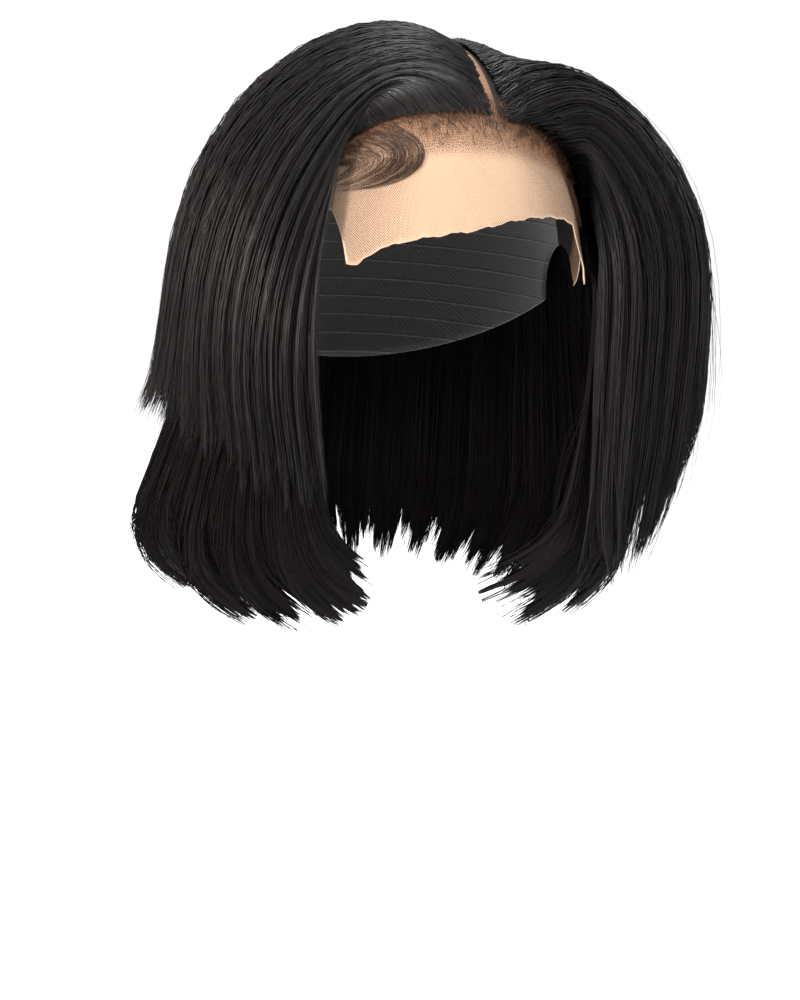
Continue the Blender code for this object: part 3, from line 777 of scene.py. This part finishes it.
def packed_mass(name, columns, finish):
    """A closed thin shell just beneath the outer strands of a curtain."""
    mesh = bpy.data.meshes.new(name)
    rows = len(columns[0])
    points, places = [], []
    for depth in MASS_DEPTHS:
        for across, column in enumerate(columns):
            for row, (top, inward, *_) in enumerate(column):
                bared = 1 - soft_step(1, MASS_START, row)
                points.append(top + inward * (depth + (MASS_ROOT_DEPTH - depth) * bared))
                places.append((across / (len(columns) - 1), row / (rows - 1)))
    count = len(columns) * rows
    faces = []
    for across in range(len(columns) - 1):
        for row in range(rows - 1):
            corner = across * rows + row
            outer = (corner, corner + rows, corner + rows + 1, corner + 1)
            faces += [outer, tuple(point + count for point in outer[::-1])]
    left, right = range(rows), range(count - rows, count)
    rim = [*left, *range(2 * rows - 1, count, rows), *right[-2::-1], *range(count - 2 * rows, 0, -rows)]
    faces += [(here, after, after + count, here + count) for here, after in zip(rim, rim[1:] + rim[:1])]
    mesh.from_pydata(points, [], faces)
    shape = bmesh.new()
    shape.from_mesh(mesh)
    bmesh.ops.recalc_face_normals(shape, faces=shape.faces)
    shape.to_mesh(mesh)
    shape.free()
    place = mesh.uv_layers.new(name="place")
    for loop in mesh.loops:
        place.uv[loop.index].vector = places[loop.vertex_index]
    mesh.shade_smooth()
    return placed(name, mesh, finish)


# Painted shade: the lower hair gets the weak reflection, so it reads darker than the top hair, as if shaded.
lower_hair = glossy_hair("lower_black_hair", HAIR_BLACK, HAIR_SOFT_BLACK, HAIR_BROWN, 0.42, SHADED_SPECULAR)
lower_mass = packed_hair("packed_black_hair", LOWER_END)
hair_strands = strand_tree()
for number, curtain in enumerate(UNDER_CURTAINS):
    columns = curtain_guide(curtain, under_controls, under_floor, UNDER_THICKNESS, 10 + number, True)
    curtain_hair = grown(
        curtain.name + "_hair", columns, hair_strands, lower_hair,
        strands=curtain.strands, points=curtain.points, radius=0.00028, start_spread=0.10, start_bias=1.0,
        length=1.0, tip_spread=0.10, lock_spread=0.05, locks=curtain.locks * LOWER_GATHERS, lock_pull=0.55,
        lock_wave=0.006, fan=0.01, frizz=0.0030, deep_share=0.25, root_rise=ROOT_RISE, stray_share=0.04,
        stray_lift=0.007, seed=40 + number,
    )
    for piece in (curtain_hair, packed_mass(curtain.name + "_mass", columns, lower_mass)):
        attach(piece, "root")
        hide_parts(curtain.name)


# Top hair: three curtains on each side of the parting, knotted into the lace along the hairline and beside
# the parting. They rise off the roots, fall over the sides and end in layers; the left side is lifted.

OVER_THICKNESS = 0.010
FINE_THICKNESS = 0.0015
SEAM_MARGIN = 6
TOP_GATHERS = 7
TOP_END = 0.76
TOP_SPECULAR = 0.16
HAIRLINE_SHARE = 0.30
TEMPLE_LATERAL = {-1: -41, 1: 58}
RISE_MIX = 0.38
RISE_HEIGHT = 0.62
SHOULDER_MIX = 0.58
OVER_DROPS = (0.40, 0.76)
OVER_TURNS = (0.40, 0.75)
FRONT_SWEEP = {-1: 0.10, 1: 0.0}
SWEPT_SHARE = 0.5

Over = namedtuple(
    "Over", "root crown_az crown_tilt side_az end_az crown shoulder side cheek jaw end drop"
)
OVER_RIGHT = (
    Over(0.00, -43, 56, -42, -36, 0.14, 0.28, 0.36, 0.46, 0.36, 0.12, 0.56),
    Over(0.12, -39, 46, -48, -44, 0.20, 0.44, 0.56, 0.66, 0.52, 0.28, 0.60),
    Over(0.26, -40, 39, -56, -52, 0.38, 0.68, 0.68, 0.76, 0.62, 0.34, 0.58),
    Over(0.42, -54, 38, -66, -64, 0.53, 0.80, 0.76, 0.82, 0.72, 0.50, 0.52),
    Over(0.56, -82, 38, -86, -88, 0.60, 0.81, 0.76, 0.81, 0.86, 0.98, 0.44),
    Over(0.70, -112, 38, -110, -114, 0.60, 0.77, 0.74, 0.80, 0.87, 1.06, 0.42),
    Over(0.84, -148, 38, -144, -148, 0.52, 0.73, 0.76, 0.84, 0.88, 0.94, 0.44),
    Over(1.00, -186, 40, -179.7, -179.7, 0.42, 0.64, 0.75, 0.84, 0.84, 0.82, 0.50),
)
OVER_LEFT = (
    Over(0.00, 56, 66, 50, 48, 0.16, 0.26, 0.26, 0.30, 0.24, 0.10, 0.82),
    Over(0.12, 52, 57, 56, 56, 0.50, 0.76, 0.72, 0.74, 0.62, 0.50, 0.88),
    Over(0.26, 50, 49, 63, 63, 0.90, 1.34, 1.26, 1.26, 1.20, 0.94, 0.85),
    Over(0.40, 57, 44, 74, 74, 0.92, 1.60, 1.56, 1.66, 1.60, 1.16, 0.64),
    Over(0.54, 80, 41, 88, 88, 0.50, 1.24, 1.53, 1.77, 1.80, 1.34, 0.52),
    Over(0.68, 108, 39, 108, 110, 0.33, 0.78, 1.16, 1.42, 1.46, 1.20, 0.52),
    Over(0.84, 144, 38, 140, 142, 0.30, 0.56, 0.84, 1.02, 1.04, 0.94, 0.50),
    Over(1.00, 174, 40, 179.7, 179.7, 0.42, 0.64, 0.75, 0.84, 0.84, 0.82, 0.50),
)
OVER_CURTAINS = (
    (-1, OVER_RIGHT, 0, Curtain("over_right_front", 0.00, 0.37, 7, 1150, 22)),
    (-1, OVER_RIGHT, 1, Curtain("over_right_side", 0.37, 0.62, 5, 850, 17)),
    (-1, OVER_RIGHT, 2, Curtain("over_right_back", 0.62, 1.00, 7, 950, 13)),
    (1, OVER_LEFT, 0, Curtain("over_left_front", 0.00, 0.38, 7, 1050, 20)),
    (1, OVER_LEFT, 1, Curtain("over_left_side", 0.38, 0.66, 6, 850, 17)),
    (1, OVER_LEFT, 2, Curtain("over_left_back", 0.66, 1.00, 6, 950, 13)),
)


def part_root(share, side):
    """Where hair starts beside the parting: side is -1 on the wearer's right of it and +1 on the left."""
    y = PART_FRONT + (PART_BACK - PART_FRONT) * share
    width = PART_WIDTH * (1 - 0.5 * share)
    unit = Vector(((PART_OFFSET + side * width / 2) / HALF_WIDTH, y / HALF_DEPTH, 0))
    unit.z = math.sqrt(1 - unit.x**2 - unit.y**2)
    return unit


def root_place(share, side):
    """A strand's root: from the temple along the hairline to the parting, then back beside the parting."""
    if share >= HAIRLINE_SHARE:
        return part_root((share - HAIRLINE_SHARE) / (1 - HAIRLINE_SHARE), side)
    corner = part_root(0, side)
    to_corner = share / HAIRLINE_SHARE
    temple = TEMPLE_LATERAL[side]
    lateral = temple + (math.degrees(math.asin(corner.x)) - temple) * to_corner
    rise = between(HAIRLINE, lateral)
    return edge_direction(lateral, rise + (rise_of(corner) - rise) * to_corner**3)


def over_controls(rows, side, share, length):
    """The points that a top strand passes through, root first."""
    row = mixed(rows, share)
    root = root_place(min(max(row.root, 0), 1), side)
    crown = direction(row.crown_az, row.crown_tilt)
    widest = direction(row.side_az, 90)
    swept = math.sin(math.pi * min(1, max(0, share) / SWEPT_SHARE)) * FRONT_SWEEP[side]
    rise = (root * (1 - RISE_MIX) + crown * RISE_MIX + Vector((0, swept, swept / 2))).normalized()
    shoulder = (crown * (1 - SHOULDER_MIX) + widest * SHOULDER_MIX).normalized()
    drop = row.drop * DROP * length
    turn = row.end_az - row.side_az
    return [
        off_head(root, ROOT_HEIGHT),
        off_head(rise, ROOT_HEIGHT + (row.crown * VOLUME - ROOT_HEIGHT) * RISE_HEIGHT),
        off_head(crown, row.crown * VOLUME),
        off_head(shoulder, row.shoulder * VOLUME),
        off_head(widest, row.side * VOLUME),
        below_head(row.side_az + turn * OVER_TURNS[0], row.cheek * VOLUME, drop * OVER_DROPS[0]),
        below_head(row.side_az + turn * OVER_TURNS[1], row.jaw * VOLUME, drop * OVER_DROPS[1]),
        below_head(row.end_az, row.end * VOLUME, drop),
    ]


def under_top(unit, drop):
    """How high the lower hair stands where a top strand passes, from its roots down."""
    azimuth = math.degrees(math.atan2(unit.x, -unit.y))
    azimuth -= 360 if azimuth > 0 else 0
    row = under_row(azimuth)
    if drop > 0:
        turned = between([(0, 0), *zip(UNDER_DROPS, UNDER_TURNS)], drop / (row.drop * DROP))
        row = under_row(azimuth - row.turn * turned)
        falls = [fall * row.drop * DROP for fall in UNDER_DROPS]
        heights = [height * VOLUME for height in (row.cheek, row.jaw, row.bulge, row.end)]
        return between([(0, row.side * VOLUME), *zip(falls, heights)], drop)
    tilt = math.degrees(math.acos(min(1, unit.z)))
    return between([(row.root_tilt - 8, 0), (row.root_tilt, ROOT_HEIGHT), (90, row.side * VOLUME)], tilt)


def skin_height(unit):
    """The outer side of the lace, or of the cap behind its seam."""
    return LACE_WALL if 0 < rise_of(unit) < SEAM_RISE - SEAM_MARGIN else CAP_WALL


def over_floor(point, t):
    """The least height of the top hair's inner side: clear of lace, cap, fine hair and lower hair."""
    unit, drop, _ = head_place(point)
    lateral = math.degrees(math.asin(unit.x))
    settled = min(1, t / SETTLED)
    floor = skin_height(unit) + PIECE_GAP + LAYER_GAP * settled
    if drop == 0 and rise_of(unit) < between(HAIRLINE, lateral):
        floor += FINE_THICKNESS * settled
    return max(floor, under_top(unit, drop) + LAYER_GAP) if settled == 1 else floor


top_hair = glossy_hair("glossy_black_hair", HAIR_BLACK, HAIR_SOFT_BLACK, HAIR_BROWN, 0.36, TOP_SPECULAR)
top_mass = packed_hair("layered_black_hair", TOP_END)
for side, rows, number, curtain in OVER_CURTAINS:

    def top_controls(share, length, side=side, rows=rows):
        return over_controls(rows, side, share, length)

    columns = curtain_guide(curtain, top_controls, over_floor, OVER_THICKNESS, number, False)
    curtain_hair = grown(
        curtain.name + "_hair", columns, hair_strands, top_hair,
        strands=curtain.strands, points=curtain.points, radius=0.00024, start_spread=0.035, start_bias=1.6,
        length=1.0, tip_spread=0.22, lock_spread=0.13, locks=curtain.locks * TOP_GATHERS, lock_pull=0.5,
        lock_wave=0.0035, fan=0.01, frizz=0.0022, deep_share=0.0, root_rise=ROOT_RISE, stray_share=0.05,
        stray_lift=0.007 + 0.003 * side, seed=70 + number + side * 5,
    )
    for piece in (curtain_hair, packed_mass(curtain.name + "_mass", columns, top_mass)):
        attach(piece, "root")
        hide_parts(curtain.name)


# Fine hair: short single hairs, brown-black, knotted into the lace before the hairline. At the right temple
# they are laid down in a swirl, and at the left one in a short wisp, as they are set with a brush.

FINE_DARK = (0.012, 0.007, 0.005)
FINE_BROWN = (0.080, 0.034, 0.018)
PART_LATERAL = 11
LAID_COLUMNS = 16
LAID_STEPS = 24
FRINGE_LINES = 24
FRINGE_LATERALS = (-39, 52)


def laid_guide(lines, height_at):
    """A guide between lines of (lateral, rise) on the lace, the first to the last, roots first."""
    columns = []
    for across in range(LAID_COLUMNS + 1):
        share = across / LAID_COLUMNS
        column = []
        for step in range(LAID_STEPS + 1):
            t = step / LAID_STEPS
            crossing = [along([Vector(place) for place in line], t) for line in lines]
            lateral, rise = along(crossing, share)
            unit = edge_direction(lateral, rise)
            floor = off_head(unit, LACE_WALL + PIECE_GAP)
            top = off_head(unit, LACE_WALL + PIECE_GAP + height_at(t))
            column.append((top, floor - top, floor - top, steepness(unit).normalized()))
        columns.append(column)
    return columns


def fringe_lines():
    """Lines from the fringe's front edge back over the hairline, leaning away from the parting."""
    lines = []
    first, last = FRINGE_LATERALS
    for step in range(FRINGE_LINES):
        lateral = first + (last - first) * step / (FRINGE_LINES - 1)
        lean = 7 * math.tanh((lateral - PART_LATERAL) / 7)
        front = between(FINE_FRONT, lateral) - 1.5
        back = between(HAIRLINE, lateral) + 7
        places = [(lateral + lean * t * t, front + (back - front) * t) for t in (0, 0.25, 0.5, 0.75, 1)]
        lines.append(places)
    return lines


SWIRL_LINES = (
    [(-26, 47), (-20, 43.5), (-15, 39), (-13.8, 35), (-16.5, 31.5), (-22, 29.6), (-29, 29), (-36, 30),
     (-43, 32)],
    [(-30, 46), (-25, 43), (-20.5, 39.5), (-19, 36), (-21, 33), (-26, 31), (-31.5, 30.4), (-38, 31.5),
     (-44, 33)],
    [(-35, 44.5), (-30.5, 42.2), (-27, 39.5), (-25, 37), (-26, 34.6), (-29.5, 33), (-34, 32.3), (-39, 33),
     (-45, 34)],
    [(-43, 41.5), (-40, 40.4), (-38, 39.2), (-36.6, 38), (-36.8, 37.2), (-38, 36.6), (-40.5, 36.2),
     (-44, 36.2), (-48, 36.4)],
)
WISP_LINES = (
    [(43, 42), (47, 37.5), (51.5, 32.5), (53.5, 27)],
    [(48, 43), (51, 38.5), (54, 33), (55, 28)],
)
fine_hair = glossy_hair("fine_brown_hair", FINE_DARK, FINE_BROWN, FINE_BROWN, 0.45, TOP_SPECULAR)
FINE_GROUPS = (
    ("fringe_hair", "hairline_strip", fringe_lines(), lambda t: 0.0006 + 0.0034 * t * t, dict(
        strands=3600, points=3, radius=0.00010, start_spread=0.90, start_bias=0.42, length=0.13,
        tip_spread=0.6, lock_spread=0.1, locks=90, lock_pull=0.0, fan=0.02, frizz=0.0014)),
    ("swirl_hair", "edge_swirl_right", SWIRL_LINES, lambda t: 0.0012, dict(
        strands=260, points=13, radius=0.00008, start_spread=0.45, start_bias=1.1, length=0.60,
        tip_spread=0.5, lock_spread=0.2, locks=30, lock_pull=0.35, fan=0.16, frizz=0.0024)),
    ("wisp_hair", "edge_wisp_left", WISP_LINES, lambda t: 0.0012, dict(
        strands=130, points=8, radius=0.00009, start_spread=0.4, start_bias=1.0, length=0.6,
        tip_spread=0.4, lock_spread=0.1, locks=5, lock_pull=0.5, fan=0.2, frizz=0.0014)),
)
for number, (name, node, lines, height_at, sizes) in enumerate(FINE_GROUPS):
    laid = grown(
        name, laid_guide(lines, height_at), hair_strands, fine_hair,
        lock_wave=0.0004, deep_share=0.0, root_rise=0.01, stray_share=0.05, stray_lift=0.001,
        seed=5 + number, **sizes,
    )
    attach(laid, "root")
    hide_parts(node)


# Studio: a plain pale floor well below the wig, soft lights round it, and the camera at the photo's angle.

FLOOR_LEVEL = -0.75
FLOOR_REACH = 40
FLOOR_PALE = (0.95, 0.95, 0.95)
WORLD_STRENGTH = 1.05
LOOK_CENTRE = Vector((0, 0, -0.110))
LOOK_AZIMUTH = -17.89
LOOK_ELEVATION = 6.1
LOOK_DISTANCE = 0.90824
LOOK_SIDE = 0.0047
LOOK_DOWN = -0.09946
LOOK_ROLL = 3.26
LENS = 71.4
SENSOR = 36

Light = namedtuple("Light", "name place size watts colour")
LIGHTS = (
    Light("softbox_left", (-1.60, -0.80, 0.12), 0.30, 66, (1.0, 0.92, 0.86)),
    Light("softbox_front", (-0.5, -1.6, 0.9), 0.5, 31, (1.0, 0.97, 0.94)),
    Light("softbox_top", (0.1, 0.35, 1.5), 0.6, 54, (0.95, 0.98, 1.0)),
    Light("softbox_right", (1.5, -0.8, 0.6), 0.45, 26, (1.0, 0.97, 0.95)),
    Light("softbox_back", (-0.5, 1.4, 1.1), 0.7, 34, (1.0, 1.0, 1.0)),
)

floor_mesh = bpy.data.meshes.new("studio_floor")
floor_signs = ((-1, -1), (1, -1), (1, 1), (-1, 1))
floor_corners = [(x * FLOOR_REACH, y * FLOOR_REACH, FLOOR_LEVEL) for x, y in floor_signs]
floor_mesh.from_pydata(floor_corners, [], [(0, 1, 2, 3)])
pale, pale_shader, _ = new_finish("pale_floor", 0.9)
pale_shader.inputs["Base Color"].default_value = (*FLOOR_PALE, 1)
placed("studio_floor", floor_mesh, pale)

world = bpy.data.worlds.new("pale_studio")
world.use_nodes = True
sky = world.node_tree.nodes["Background"]
sky.inputs["Color"].default_value = (1, 1, 1, 1)
sky.inputs["Strength"].default_value = WORLD_STRENGTH
bpy.context.scene.world = world
bpy.context.scene.view_settings.view_transform = "Standard"

for light in LIGHTS:
    lamp = bpy.data.lights.new(light.name, "AREA")
    lamp.size = light.size
    lamp.energy = light.watts
    lamp.color = light.colour
    holder = bpy.data.objects.new(light.name, lamp)
    aim = (LOOK_CENTRE - Vector(light.place)).to_track_quat("-Z", "Y")
    holder.matrix_world = Matrix.Translation(light.place) @ aim.to_matrix().to_4x4()
    bpy.context.scene.collection.objects.link(holder)

turn, lean = math.radians(LOOK_AZIMUTH), math.radians(LOOK_ELEVATION)
back = Vector((math.sin(turn) * math.cos(lean), -math.cos(turn) * math.cos(lean), math.sin(lean)))
stand = LOOK_CENTRE + back * LOOK_DISTANCE
target = LOOK_CENTRE + Vector((math.cos(turn), math.sin(turn), 0)) * LOOK_SIDE + Vector((0, 0, LOOK_DOWN))
gaze = (target - stand).normalized()
level_right = gaze.cross(Vector((0, 0, 1))).normalized()
level_up = level_right.cross(gaze)
roll = math.radians(LOOK_ROLL)
right = level_right * math.cos(roll) + level_up * math.sin(roll)
up = level_up * math.cos(roll) - level_right * math.sin(roll)
camera_data = bpy.data.cameras.new("camera")
camera_data.lens = LENS
camera_data.sensor_width = SENSOR
camera = bpy.data.objects.new("camera", camera_data)
facing = Matrix((right, up, -gaze)).transposed().to_4x4()
camera.matrix_world = Matrix.Translation(stand) @ facing
bpy.context.scene.collection.objects.link(camera)
bpy.context.scene.camera = camera
